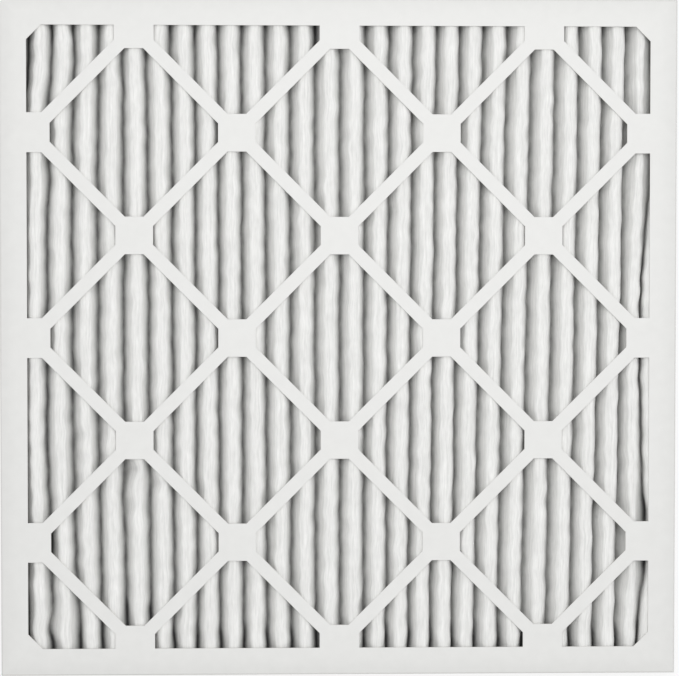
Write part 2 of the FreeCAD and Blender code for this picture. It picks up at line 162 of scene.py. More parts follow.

# %% [markdown]
# ## Where hands pressed the pleats
# Waves alone look too even. In the photograph some creases were pushed well aside when
# the pack was glued in, above all the first and the last, and some folds are dented.
# Some creases also get more painted shade, and one has some taken away. Each such place
# is one line below, and it fades out smoothly over its reach. The lines were chosen one
# by one, from enlarged crops and from measured distances between the creases of a render
# and those of the photograph.

# %% Pushed and dented places, and creases with painted shade
# Creases pushed aside: crease, place along it, reach and shift in mm.
PUSHES = (
    (1, 212, 45, 3.4),
    (2, 212, 30, 2.8),
    (2, 122, 22, 2.0),
    (2, -80, 30, -1.3),
    (2, -149, 25, 1.5),
    (2, -194, 10, 1.2),
    (2, -214, 9, -2.1),
    (3, 203, 14, 1.2),
    (3, -212, 30, 2.7),
    (5, 210, 25, -1.5),
    (5, -118, 28, -1.5),
    (6, 200, 55, -1.7),
    (7, 214, 18, -1.5),
    (7, -217, 14, -1.2),
    (24, -217, 14, -1.0),
    (25, -140, 30, -1.4),
    (27, 150, 60, 6.0),
    (27, 225, 30, 1.5),
    (27, 0, 110, 0.7),
    (27, 45, 40, -1.3),
    (27, -8, 38, -1.9),
    (27, -145, 45, 5.5),
    (27, -175, 20, 1.6),
)

# Dented folds: fold, place along it, reach and depth in mm. A dent in the left flank has
# a positive depth, and one in the right flank a negative one. Fold 26 is slimmer on its
# right side all the way, so that the last valley stands open.
DENTS = (
    (3, -72, 6, 2.0),
    (3, -89, 6, 1.6),
    (4, -61, 8, 1.8),
    (5, -97, 7, 3.6),
    (5, -121, 7, 1.8),
    (6, -106, 5, 1.8),
    (25, -212, 7, 1.4),
    (26, 0, 900, -1.3),
    (26, 175, 60, -1.5),
    (26, -130, 18, -1.7),
    (26, -172, 16, -1.2),
)

# Creases with more painted shade: crease, place along it, reach and share of the dark
# crease colour. A negative share takes painted shade away.
SHADED_CREASES = (
    (1, 205, 40, 1.0),
    (1, -60, 90, 0.4),
    (1, -210, 40, 1.0),
    (2, -149, 14, 1.0),
    (2, -211, 8, -0.7),
    (5, -206, 12, 1.0),
    (6, -206, 10, 1.0),
    (13, 218, 18, 0.6),
    (13, -216, 18, 0.6),
    (27, 20, 90, 0.4),
    (27, -128, 14, 1.0),
    (27, -163, 16, 1.0),
    (27, -222, 14, 1.0),
)
print(f"{len(PUSHES)} pushes, {len(DENTS)} dents and {len(SHADED_CREASES)} pinches")

# %% [markdown]
# ## The path of one pleat
# Seen from the end, the sheet runs round a small circle at the crease, up a straight
# flank, over a large circle at the fold, and down to the next crease. A straight line
# that touches both circles on opposite sides leaves at the angle of the line between
# the centres plus asin((sum of the radii) / distance). Measuring every circle from its
# own centre has one more use: a path a little further in or out is parallel to the
# sheet, so the same function gives both faces of the fleece and the wires behind it.
# Bending a flat strip with modifiers would also give pleats, but not an even thickness.

# %% Crease and fold lines of the whole pack
def pleat_lines(along):
    """Where each crease and fold is at the given places along the pleats, in mm.
    Returns crease x, fold x, fold height and fold radius, one row per line. A fold wider
    than the full radius sits lower, so its crest never reaches the straps."""
    number = np.arange(PLEATS + 1)[:, None]
    free = number % PLEATS != 0
    crease = pack_low[0] + PITCH * number + drift(number, along) + free * crease_waver(along)
    for line, place, reach, shift in PUSHES:
        crease[line] += shift * near(along, place, reach)
    fold = (crease[:-1] + crease[1:]) / 2 + LEAN + fold_waver(along)
    fold[-1] = crease[-2] + LAST_FOLD
    height = FOLD_Z - LOWER - sag_waver(along)
    radius = FOLD_RADIUS - SLIMMER + girth_waver(along)
    height = height + np.minimum(0, FOLD_RADIUS - radius)
    for line, place, reach, depth in DENTS:
        pressed = depth * near(along, place, reach)
        fold[line] += pressed / 2
        radius[line] -= abs(pressed) / 2
        height[line] -= abs(pressed) / 4
    return crease, fold, height, radius


def sheet_path(along, depth, steps):
    """x and z of the sheet, at a depth below its front face, for every place along the
    pleats. The path turns left round the crease centre P with radius c + depth, and
    right round the fold centre C with radius r - depth. Its heading a on a flank is
    angle(C - P) + asin((c + f) / |C - P|). Points are P + (c + depth)(sin a, -cos a)
    and C + (r - depth)(-sin a, cos a), where r is the fold's own radius f times
    1 + SHOULDER sin(pi t) ** 2, and t the share of the turn from crest to flank. Steps
    are the numbers of points on half a crease, a flank and a fold."""
    crease, fold, height, radius = pleat_lines(along)
    crease_steps, flank_steps, fold_steps = steps
    low = CREASE_RADIUS + depth

    def heading(dx, dz):
        far = np.hypot(dx, dz)
        return np.arctan2(dz, dx) + np.arcsin((radius + CREASE_RADIUS) / far)

    up = heading(fold - crease[:-1], height - CREASE_Z)
    down = heading(crease[1:] - fold, height - CREASE_Z)

    def about_crease(centre, angle):
        return centre + low * np.sin(angle), CREASE_Z - low * np.cos(angle)

    def about_fold(angle):
        share = np.where(angle > 0, angle / up, angle / down)
        reach = radius * (1 + SHOULDER * np.sin(np.pi * share) ** 2) - depth
        return fold - reach * np.sin(angle), height + reach * np.cos(angle)

    def between(start, end, share):
        return tuple(a + (b - a) * share for a, b in zip(start, end))

    crease_shares = np.arange(crease_steps) / crease_steps
    flank_shares = np.arange(flank_steps) / flank_steps
    fold_shares = np.arange(fold_steps) / fold_steps
    rising = about_crease(crease[:-1], up), about_fold(up)
    falling = about_fold(-down), about_crease(crease[1:], -down)
    columns = np.array([
        *(about_crease(crease[:-1], up * share) for share in crease_shares),
        *(between(*rising, share) for share in flank_shares),
        *(about_fold(up - (up + down) * share) for share in fold_shares),
        *(between(*falling, share) for share in flank_shares),
        *(about_crease(crease[1:], -down * share) for share in 1 - crease_shares),
    ])
    last = np.array(about_crease(crease[-1:], 0 * crease[-1:]))
    whole = columns.transpose(1, 2, 0, 3).reshape(2, -1, columns.shape[-1])
    return np.concatenate([whole, last], axis=1)


middle_creases = pleat_lines(np.zeros(1))[0][:, 0]
pleat_widths = np.diff(middle_creases)
print(f"half way along, pleats are {pleat_widths.min():.1f} to {pleat_widths.max():.1f} mm wide")

# %% [markdown]
# ## From arrays to a mesh
# A grid of points becomes faces by joining each point to its right and upper
# neighbours. A sheet with a thickness is two such grids, the lower one turned over, and
# four strips round the rim that close it. A Solidify modifier could thicken one grid,
# but its inner side would have as many points as the outer one, and nobody sees it from
# close by. The mesh gets all its points at once.

# %% Mesh makers
def grid_faces(index):
    """Four-cornered faces between neighbours in a grid of vertex numbers."""
    corners = [index[:-1, :-1], index[:-1, 1:], index[1:, 1:], index[1:, :-1]]
    return np.stack(corners, axis=-1).reshape(-1, 4)


def ring_faces(index):
    """Faces of a row of rings, one ring per row of vertex numbers, with flat end caps."""
    wrapped = np.concatenate([index, index[:, :1]], axis=1)
    return [*grid_faces(wrapped), index[0, ::-1], index[-1]]


def closed_sheet_faces(upper_rows, every, columns):
    """Faces of two stacked grids, upper one first, and of the rim between them. The
    lower grid has a row only under every so many rows of the upper one, so a face of
    the side rims has that many short edges above one long edge."""
    upper = np.arange(upper_rows * columns).reshape(upper_rows, columns)
    lower_rows = (upper_rows - 1) // every + 1
    lower = upper.size + np.arange(lower_rows * columns).reshape(lower_rows, columns)

    def end_rim(top, below):
        return np.stack([top[:-1], below[:-1], below[1:], top[1:]], axis=-1)

    def side_rim(top, below):
        steps = np.arange(0, upper_rows - 1, every)[:, None] + np.arange(every, -1, -1)
        return np.concatenate([top[steps], below[:-1, None], below[1:, None]], axis=-1)

    return [
        *grid_faces(upper),
        *grid_faces(lower)[:, ::-1],
        *end_rim(upper[0], lower[0]),
        *end_rim(upper[-1, ::-1], lower[-1, ::-1]),
        *side_rim(upper[:, -1], lower[:, -1]),
        *side_rim(upper[::-1, 0], lower[::-1, 0]),
    ]


def make_piece(name, points, faces, smooth_angle):
    """A mesh object at the origin from points in mm. Edges that turn by more than the
    angle, in degrees, stay sharp."""
    mesh = bpy.data.meshes.new(name)
    mesh.from_pydata((points * MM).tolist(), [], [face.tolist() for face in faces])
    mesh.polygons.foreach_set("use_smooth", np.ones(len(mesh.polygons), bool))
    mesh.set_sharp_from_angle(angle=math.radians(smooth_angle))
    piece = bpy.data.objects.new(name, mesh)
    bpy.context.scene.collection.objects.link(piece)
    corners = np.array([len(face) for face in faces])
    print(f"{name}: {len(mesh.vertices)} points, {int((corners - 2).sum())} triangles")
    return piece


print("faces of a grid of 2 x 3 points", grid_faces(np.arange(6).reshape(2, 3)).tolist())

# %% [markdown]
# ## The fleece
# The medium is one sheet, folded to and fro. A cloth simulation could drape it over the
# wires, but the real sheet is folded together with its wires and holds those folds, so a
# worked-out shape is truer. Both its faces come from the path function, one at depth
# zero and one a sheet's thickness deeper. The front face has a row of points about every
# 3 mm along the pleats, enough for their waver, and the back has a fourth as many rows.

# %% Make the pleated fleece
FRONT_ROWS = 153
BACK_EVERY = 4
FLEECE_STEPS = (2, 2, 10)
along = np.linspace(*ENDS, FRONT_ROWS)


def sheet_points(along, depth):
    """Grid of points at a depth below the front face, one row per place along the pleats."""
    x, z = sheet_path(along, depth, FLEECE_STEPS)
    return np.stack([x, np.broadcast_to(along, x.shape), z], axis=-1).transpose(1, 0, 2)


front_points = sheet_points(along, 0.0)
back_points = sheet_points(along[::BACK_EVERY], FLEECE)
all_points = np.concatenate([front_points.reshape(-1, 3), back_points.reshape(-1, 3)])
fleece = make_piece(
    "pleated_fleece",
    all_points,
    closed_sheet_faces(FRONT_ROWS, BACK_EVERY, front_points.shape[1]),
    smooth_angle=50.0,
)

# %% [markdown]
# ## A map of the flat sheet
# The fibres follow the sheet over its folds, so their pattern can't be fixed to the
# room. A UV map that says how far along the uncut roll each column was lays the pattern
# out flat. Its lengths are true, because they are measured half way through the sheet,
# where a fold neither stretches nor shortens it. The same measure gives the flat size.

# %% Map of the flat sheet
middle_points = sheet_points(along[::BACK_EVERY], FLEECE / 2)
spans = np.linalg.norm(np.diff(middle_points, axis=1), axis=-1)
cut_place = np.concatenate([[0], np.cumsum(spans.mean(axis=0))])
across_cut = np.tile(cut_place, len(front_points) + len(back_points))
flat = np.stack([across_cut, all_points[:, 1]], axis=-1)
vertex_of_corner = np.zeros(len(fleece.data.loops), int)
fleece.data.loops.foreach_get("vertex_index", vertex_of_corner)
cut_map = fleece.data.uv_layers.new(name="flat_cut")
cut_map.data.foreach_set("uv", (flat * MM)[vertex_of_corner].ravel())

# %% [markdown]
# ## Where the fleece gets painted shade
# Two numbers are kept at each point for the material, and both paint shade into the
# fleece's colour. One is the height on the flank: low in a crease the colour is painted
# darker. The other adds more painted shade to the creases: more towards the left side,
# at both ends of the pleats, where the sheet is glued, and at the shaded creases listed
# above. They could be painted on by hand, but where every point lies is known, so two
# formulas do it. They belong to the front face: the back is white.

# %% Shares for the material
# Painted shade in the creases, as shares of the dark crease colour.
LEFT_CREASE_SHADE = 0.36  # share at the left side, which falls to none at the right
BOTTOM_FROM, BOTTOM_SPAN = 208, 18  # mm from the middle, and mm until fully shaded
TOP_FROM, TOP_SPAN = 212, 40
CREASE_SHADE_WIDTH = PITCH * 0.8  # painted shade ends this far from where an even crease would be
CREASE_SHADE_FADE = 4  # mm, over which it fades out there

x, y, z = all_points.T
height_share = ramp(z, CREASE_Z, FOLD_Z - CREASE_Z)
extra_crease_shade = LEFT_CREASE_SHADE * (pack_high[0] - x) / (pack_high[0] - pack_low[0])
extra_crease_shade += ramp(-y, BOTTOM_FROM, BOTTOM_SPAN) + ramp(y, TOP_FROM, TOP_SPAN)
for line, place, reach, share in SHADED_CREASES:
    aside = abs(x - (pack_low[0] + PITCH * line))
    extra_crease_shade += share * ramp(CREASE_SHADE_WIDTH - aside, 0, CREASE_SHADE_FADE) * near(y, place, reach)
back_start = front_points[..., 0].size
height_share[back_start:] = 1
extra_crease_shade[back_start:] = 0
for title, values in (("height_on_flank", height_share), ("extra_crease_shade", extra_crease_shade)):
    attribute = fleece.data.attributes.new(title, "FLOAT", "POINT")
    attribute.data.foreach_set("value", values.astype(np.float32))
    print(f"{title} from {values.min():.2f} to {values.max():.2f}")

# %% [markdown]
# ## The wire grid
# Behind the fleece lies a welded grid that was folded with it. Its cross wires follow
# the pleats, so they come from the same path function, deeper by the fleece and half a
# wire. The long wires lie along the flanks, on the far side of the cross wires, and sink
# into them a little where they are welded. A curve with a round bevel would do as well,
# but a profile carried along the points keeps every ring where the path says.

# %% Make the wires
RING = 8
RING_ANGLES = np.linspace(0, 2 * np.pi, RING, endpoint=False)


def tube(centres, side, up, radius):
    """A round bar: for each centre, a ring centre + r (cos t side + sin t up), joined to
    the next ring, with a flat cap at both ends."""
    out = np.cos(RING_ANGLES)[:, None] * side[:, None, :]
    out = out + np.sin(RING_ANGLES)[:, None] * up[:, None, :]
    points = centres[:, None, :] + radius * out
    index = np.arange(len(centres) * RING).reshape(len(centres), RING)
    return points.reshape(-1, 3), ring_faces(index)


def unit(vectors):
    """Vectors of length 1 in the same directions."""
    return vectors / np.linalg.norm(vectors, axis=-1, keepdims=True)


CROSS_WIRES = 6
CROSS_MARGIN = 22.0  # from the last cross wire to the end of the pleats
WIRE_PLAY = 0.05  # between the fleece and the cross wires
CROSS_STEPS = (3, 2, 9)
cross_along = np.linspace(-1, 1, CROSS_WIRES) * (pack_high[1] - CROSS_MARGIN)
cross_depth = FLEECE + WIRE_PLAY + WIRE / 2
cross_x, cross_z = sheet_path(cross_along, cross_depth, CROSS_STEPS)
bars = []
for place, x, z in zip(cross_along, cross_x.T, cross_z.T):
    centres = np.stack([x, np.full_like(x, place), z], axis=-1)
    ahead = unit(np.gradient(centres, axis=0))
    sideways = np.broadcast_to([0.0, 1.0, 0.0], centres.shape)
    bars.append(tube(centres, np.cross(sideways, ahead), sideways, WIRE / 2))

LONG_ROWS = 49
LONG_MARGIN = 0.5  # from the end of a long wire to the end of the pleats
WELD_SINK = 0.1  # how far the wires sink into each other
LONG_STEPS = (1, 2, 1)
long_along = np.linspace(ENDS[0] + LONG_MARGIN, ENDS[1] - LONG_MARGIN, LONG_ROWS)
long_x, long_z = sheet_path(long_along, cross_depth + WIRE - WELD_SINK, LONG_STEPS)
# With these steps a pleat has seven points, of which 2 and 5 are the flanks' middles.
pleat_starts = 7 * np.arange(PLEATS)
flank_middles = np.sort(np.concatenate([pleat_starts + 2, pleat_starts + 5]))
for x, z in zip(long_x[flank_middles], long_z[flank_middles]):
    centres = np.stack([x, long_along, z], axis=-1)
    ahead = unit(np.gradient(centres, axis=0))
    side = unit(np.cross(ahead, np.broadcast_to([0.0, 0.0, 1.0], centres.shape)))
    bars.append(tube(centres, side, np.cross(side, ahead), WIRE / 2))
print(f"{len(bars)} wires")

# %% [markdown]
# ## Weld beads
# Where two wires cross, the weld leaves a small round bead of melted steel. A smooth
# sphere at each would cost more than all the wires, so a bead is a coarse ball of five
# rings, which is enough at 1.2 mm across. The helper that joins the rings of a wire joins
# these too. The real grid is one piece with its beads, so they become one mesh.

# %% Weld beads
BEAD = 0.6  # radius
BEAD_LEVELS = np.radians([-89, -45, 0, 45, 89])[:, None]
rows = np.interp(cross_along, long_along, np.arange(LONG_ROWS))
low_row = rows.astype(int)
part_way = rows - low_row


def at_crossings(values):
    """Values of each long wire where the cross wires meet it, between two rows."""
    lines = values[flank_middles]
    return lines[:, low_row] * (1 - part_way) + lines[:, low_row + 1] * part_way


bead_x, bead_z = at_crossings(long_x), at_crossings(long_z)
bead_y = np.broadcast_to(cross_along, bead_x.shape)
bead_centres = np.stack([bead_x, bead_y, bead_z], axis=-1).reshape(-1, 3)
ball_x = np.cos(BEAD_LEVELS) * np.cos(RING_ANGLES)
ball_y = np.cos(BEAD_LEVELS) * np.sin(RING_ANGLES)
ball = np.stack(np.broadcast_arrays(ball_x, ball_y, np.sin(BEAD_LEVELS)), axis=-1)
ball_faces = ring_faces(np.arange(len(BEAD_LEVELS) * RING).reshape(-1, RING))
bars += [(centre + BEAD * ball.reshape(-1, 3), ball_faces) for centre in bead_centres]
print(f"{len(bead_centres)} weld beads")

# %% Join the wires
offsets = np.cumsum([0] + [len(points) for points, _ in bars[:-1]])
wires = make_piece(
    "wire_grid",
    np.concatenate([points for points, _ in bars]),
    [face + offset for (_, faces), offset in zip(bars, offsets) for face in faces],
    smooth_angle=60.0,
)

# %% [markdown]
# ## Colours and nodes
# A material could be drawn by hand in the node editor. Written as code it can be read,
# compared and made again. Colours are hex values as a screen shows them, and one function
# turns them to the linear light that shaders reckon in. One more function adds a node
# with its settings and links, so that a material reads as a list of steps.

# %% Helpers for materials
def linear(hex_colour):
    """A screen colour such as #EAEAE8 as linear red, green, blue and alpha. A channel c
    becomes c / 12.92 where it is at most 0.04045, and ((c + 0.055) / 1.055) ** 2.4 above."""
    channels = [int(hex_colour[start:start + 2], 16) / 255 for start in (1, 3, 5)]
    light = [c / 12.92 if c <= 0.04045 else ((c + 0.055) / 1.055) ** 2.4 for c in channels]
    return light + [1.0]


def add_node(material, kind, inputs=None, **settings):
    """A node of one kind. Each input is given a value, or the output that feeds it."""
    tree = material.node_tree
    node = tree.nodes.new(kind)
    for name, value in settings.items():
        setattr(node, name, value)
    for name, value in (inputs or {}).items():
        if isinstance(value, bpy.types.NodeSocket):
            tree.links.new(value, node.inputs[name])
        else:
            node.inputs[name].default_value = value
    return node


def new_material(name):
    """An empty material, and its surface output."""
    material = bpy.data.materials.new(name)
    material.use_nodes = True
    material.node_tree.nodes.clear()
    return material, add_node(material, "ShaderNodeOutputMaterial")


print("the screen's middle grey is", round(linear("#808080")[0], 3), "of white in linear light")

# %% [markdown]
# ## Coated board
# The trays are folded from solid bleached board with a white clay coating, as in drinks
# cartons: smooth, faintly mottled where fibres lie below the clay, with a soft sheen.
# The die leaves a raw edge, whose grey-white plies show in the windows, and the coating
# dulls and cracks a little along the folds. A painted texture would need the tray laid
# out flat. But all of this depends only on where a point is on the tray and which way it
# faces, so Object coordinates and the normal are enough.

# %% Coated board: clay and handling
# Fibres under the clay: clouds about 9 mm across, and flecks of 1.2 mm, drawn coarser
# than real fibres so that they show.
CLOUDS, FLECKS = 0.009, 0.0012
# Distances from the middle of the panel, in metres.
OUTER_EDGE = 0.2476
BORDER_SHADE_FROM = 0.222
board, board_output = new_material("clay_coated_board")
board_place = add_node(board, "ShaderNodeTexCoord")
axes = add_node(board, "ShaderNodeSeparateXYZ", {0: board_place.outputs["Object"]})
away_x = add_node(board, "ShaderNodeMath", {0: axes.outputs["X"]}, operation="ABSOLUTE")
away_y = add_node(board, "ShaderNodeMath", {0: axes.outputs["Y"]}, operation="ABSOLUTE")
away = add_node(
    board, "ShaderNodeMath",
    {0: away_x.outputs[0], 1: away_y.outputs[0]}, operation="MAXIMUM",
)
clouds = add_node(
    board, "ShaderNodeTexNoise",
    {"Vector": board_place.outputs["Object"], "Scale": 1 / CLOUDS, "Detail": 3.0},
)
flecks = add_node(
    board, "ShaderNodeTexNoise",
    {"Vector": board_place.outputs["Object"], "Scale": 1 / FLECKS, "Detail": 2.0},
)
clay = add_node(
    board, "ShaderNodeMix",
    {"Factor": clouds.outputs["Fac"], "A": linear("#E1E1DF"), "B": linear("#E9E9E7")},
    data_type="RGBA",
)
# Painted shade greys the border a little, more towards its outer edge.
border_shade = add_node(
    board, "ShaderNodeMapRange",
    {
        "Value": away.outputs[0], "From Min": BORDER_SHADE_FROM, "From Max": OUTER_EDGE,
        "To Min": 0.0, "To Max": 0.035,
    },
)
border_shaded = add_node(
    board, "ShaderNodeMix",
    {"Factor": border_shade.outputs[0], "A": clay.outputs[2], "B": linear("#7C7C7A")},
    data_type="RGBA",
)
print("started", board.name)

# %% Coated board: raw edges and rubbed folds
# The raw die-cut edge is upright and lies inside the border. Its plies are 0.11 mm thick
# and run on for 2.5 mm, here as patches per metre.
WINDOWS_END = 0.234
UPRIGHT = 0.4  # a face whose normal rises less than this is an edge
PLIES = (400, 400, 9000)
RUBBED_FROM = 0.2462
facing = add_node(board, "ShaderNodeSeparateXYZ", {0: board_place.outputs["Normal"]})
rise = add_node(board, "ShaderNodeMath", {0: facing.outputs["Z"]}, operation="ABSOLUTE")
inside = add_node(
    board, "ShaderNodeMath", {0: away.outputs[0], 1: WINDOWS_END}, operation="LESS_THAN"
)
edge_on = add_node(
    board, "ShaderNodeMath", {0: rise.outputs[0], 1: UPRIGHT}, operation="LESS_THAN"
)
raw = add_node(
    board, "ShaderNodeMath",
    {0: inside.outputs[0], 1: edge_on.outputs[0]}, operation="MULTIPLY",
)
stacked = add_node(
    board, "ShaderNodeMapping", {"Vector": board_place.outputs["Object"], "Scale": PLIES}
)
plies = add_node(
    board, "ShaderNodeTexNoise",
    {"Vector": stacked.outputs[0], "Scale": 1.0, "Detail": 2.0},
)
fibre = add_node(
    board, "ShaderNodeMix",
    {"Factor": plies.outputs["Fac"], "A": linear("#C9C6BE"), "B": linear("#E2E0DA")},
    data_type="RGBA",
)
surface = add_node(
    board, "ShaderNodeMix",
    {"Factor": raw.outputs[0], "A": border_shaded.outputs[2], "B": fibre.outputs[2]},
    data_type="RGBA",
)
# The coating is rubbed in patches over the last millimetre before the outer edge.
rub = add_node(
    board, "ShaderNodeMapRange",
    {
        "Value": away.outputs[0], "From Min": RUBBED_FROM, "From Max": OUTER_EDGE,
        "To Min": 0.0, "To Max": 1.0,
    },
)
patchy = add_node(
    board, "ShaderNodeMath",
    {0: rub.outputs[0], 1: flecks.outputs["Fac"]}, operation="MULTIPLY",
)
rubbed = add_node(
    board, "ShaderNodeMix",
    {"Factor": patchy.outputs[0], "A": surface.outputs[2], "B": linear("#D2D1CD")},
    data_type="RGBA",
)
print("added raw edges and rubbed folds to", board.name)

# %% Coated board: sheen and relief
# The flanges pull the border down a little over its last 12 mm, as a shallow crown.
CROWN_FROM, CROWN_TO = 0.2357, 0.2477
CROWN_DROP = 0.0012
GRAIN_RELIEF = 0.00008  # height of the fibres under the clay, in metres
# The clay has a soft sheen that varies with its clouds, and a raw edge has none.
gloss = add_node(
    board, "ShaderNodeMapRange",
    {"Value": clouds.outputs["Fac"], "To Min": 0.42, "To Max": 0.56},
)
dull = add_node(
    board, "ShaderNodeMath",
    {0: gloss.outputs[0], 1: raw.outputs[0]}, operation="ADD", use_clamp=True,
)
relief = add_node(
    board, "ShaderNodeMath",
    {0: clouds.outputs["Fac"], 1: flecks.outputs["Fac"]}, operation="ADD",
)
crown = add_node(
    board, "ShaderNodeMapRange",
    {
        "Value": away.outputs[0], "From Min": CROWN_FROM, "From Max": CROWN_TO,
        "To Min": 0.0, "To Max": 1.0,
    },
)
drop = add_node(
    board, "ShaderNodeMath",
    {0: crown.outputs[0], 1: crown.outputs[0]}, operation="MULTIPLY",
)
fall = add_node(
    board, "ShaderNodeMath", {0: drop.outputs[0], 1: -CROWN_DROP}, operation="MULTIPLY"
)
rolled = add_node(
    board, "ShaderNodeBump", {"Strength": 1.0, "Distance": 1.0, "Height": fall.outputs[0]}
)
grain = add_node(
    board, "ShaderNodeBump",
    {
        "Strength": 0.12, "Distance": GRAIN_RELIEF,
        "Height": relief.outputs[0], "Normal": rolled.outputs[0],
    },
)
board_shader = add_node(
    board, "ShaderNodeBsdfPrincipled",
    {
        "Base Color": rubbed.outputs[2], "Roughness": dull.outputs[0],
        "IOR": 1.48, "Normal": grain.outputs[0],
    },
)
board.node_tree.links.new(board_shader.outputs[0], board_output.inputs[0])
print("made", board.name)

# %% [markdown]
# ## Fibre fleece
# The medium is a lofted web of cotton and polyester fibres. It is matt and white, a
# little greyer where the web is thin, and its fibres were combed along the pleats, which
# leaves fine streaks that run the same way. Deep in a crease its colour is painted darker,
# as painted shade. Real fibres are a fiftieth of a millimetre thick and could be hair
# curves, but a picture can't show them, so the streaks are drawn as coarse as it can.

# %% Fibre fleece: painted shade in the creases
DENSITY = 0.012  # size of thick and thin places in the web, in metres
fleece_cloth, fleece_output = new_material("cotton_polyester_fleece")
cut = add_node(fleece_cloth, "ShaderNodeUVMap", uv_map="flat_cut")
density = add_node(
    fleece_cloth, "ShaderNodeTexNoise",
    {"Vector": cut.outputs[0], "Scale": 1 / DENSITY, "Detail": 2.0},
)
# Painted shade: low on a flank the colour is darker, and darker still where more crease shade is
# kept.
on_flank = add_node(fleece_cloth, "ShaderNodeAttribute", attribute_name="height_on_flank")
lifted = add_node(
    fleece_cloth, "ShaderNodeMapRange",
    {
        "Value": on_flank.outputs["Fac"], "From Min": 0.0, "From Max": 1.0,
        "To Min": 0.0, "To Max": 1.0,
    },
    interpolation_type="SMOOTHSTEP",
)
extra_shade_reader = add_node(fleece_cloth, "ShaderNodeAttribute", attribute_name="extra_crease_shade")
blotches = add_node(
    fleece_cloth, "ShaderNodeMapRange",
    {
        "Value": density.outputs["Fac"], "From Min": 0.35, "From Max": 0.65,
        "To Min": -0.15, "To Max": 0.25,
    },
)
crease_shade_amount = add_node(
    fleece_cloth, "ShaderNodeMath",
    {0: extra_shade_reader.outputs["Fac"], 1: blotches.outputs[0]}, operation="ADD", use_clamp=True,
)
# The painted shade colour of a crease: grey, and near black where it gets the most.
crease_shade_colour = add_node(
    fleece_cloth, "ShaderNodeMix",
    {"Factor": crease_shade_amount.outputs[0], "A": linear("#B4B4B2"), "B": linear("#1C1C1C")},
    data_type="RGBA",
)
crease_shaded_colour = add_node(
    fleece_cloth, "ShaderNodeMix",
    {"Factor": lifted.outputs[0], "A": crease_shade_colour.outputs[2], "B": linear("#FCFCFA")},
    data_type="RGBA",
)
print("started", fleece_cloth.name)

# %% Fibre fleece: streaks, fibres and loft
# Sizes across and along the combing, in metres.
STREAK = (0.0013, 0.04)
FIBRE = (0.0009, 0.009)
WEB = 0.0022  # size of the tufts that stand up from the sheet
combed = add_node(
    fleece_cloth, "ShaderNodeMapping",
    {"Vector": cut.outputs[0], "Scale": (1 / STREAK[0], 1 / STREAK[1], 1)},
)
streaks = add_node(
    fleece_cloth, "ShaderNodeTexNoise",
    {"Vector": combed.outputs[0], "Scale": 1.0, "Detail": 3.0, "Roughness": 0.55},
)
fine = add_node(
    fleece_cloth, "ShaderNodeMapping",
    {"Vector": cut.outputs[0], "Scale": (1 / FIBRE[0], 1 / FIBRE[1], 1)},
)
fibres = add_node(
    fleece_cloth, "ShaderNodeTexNoise",
    {"Vector": fine.outputs[0], "Scale": 1.0, "Detail": 2.0},
)
# Three layers of grey, each over the one before. A row gives a layer's noise, the noise
# value at which it starts to show, how strong it gets, and its colour.
tone = crease_shaded_colour
for noise, start, strength, grey in (
    (streaks, 0.3, 0.2, "#8C8C8A"),
    (fibres, 0.3, 0.14, "#8C8C8A"),
    (density, 0.35, 0.06, "#9A9A98"),
):
    layer = add_node(
        fleece_cloth, "ShaderNodeMapRange",
        {
            "Value": noise.outputs["Fac"], "From Min": start, "From Max": 0.7,
            "To Min": 0.0, "To Max": strength,
        },
    )
    tone = add_node(
        fleece_cloth, "ShaderNodeMix",
        {"Factor": layer.outputs[0], "A": tone.outputs[2], "B": linear(grey)},
        data_type="RGBA",
    )
web = add_node(
    fleece_cloth, "ShaderNodeTexNoise",
    {"Vector": cut.outputs[0], "Scale": 1 / WEB, "Detail": 4.0, "Roughness": 0.65},
)
loft = add_node(
    fleece_cloth, "ShaderNodeMath",
    {0: streaks.outputs["Fac"], 1: web.outputs["Fac"]}, operation="ADD",
)
fleece_bump = add_node(
    fleece_cloth, "ShaderNodeBump",
    {"Strength": 0.6, "Distance": 0.0005, "Height": loft.outputs[0]},
)
# Light enters the web and leaves it a millimetre or two away, which softens the shading
# of the folds. A faint sheen stands for the loose ends of fibres.
fleece_shader = add_node(
    fleece_cloth, "ShaderNodeBsdfPrincipled",
    {
        "Base Color": tone.outputs[2], "Roughness": 0.95, "IOR": 1.45,
        "Specular IOR Level": 0.15, "Sheen Weight": 0.1, "Sheen Roughness": 0.6,
        "Subsurface Weight": 0.3, "Subsurface Radius": (1.0, 1.0, 1.0),
        "Subsurface Scale": 0.0015, "Normal": fleece_bump.outputs[0],
    },
)
fleece_cloth.node_tree.links.new(fleece_shader.outputs[0], fleece_output.inputs[0])
print("made", fleece_cloth.name)

# %% [markdown]
# ## Galvanised wire
# Drawn steel wire with a zinc coat is a dull silver with cloudy patches of brighter and
# greyer zinc. Flat crystals with sharp borders could be drawn by a cell pattern, but on
# a wire this thin they blur to clouds, and a noise is enough. The same noise drives the
# roughness, so that the sheen varies with the tone.

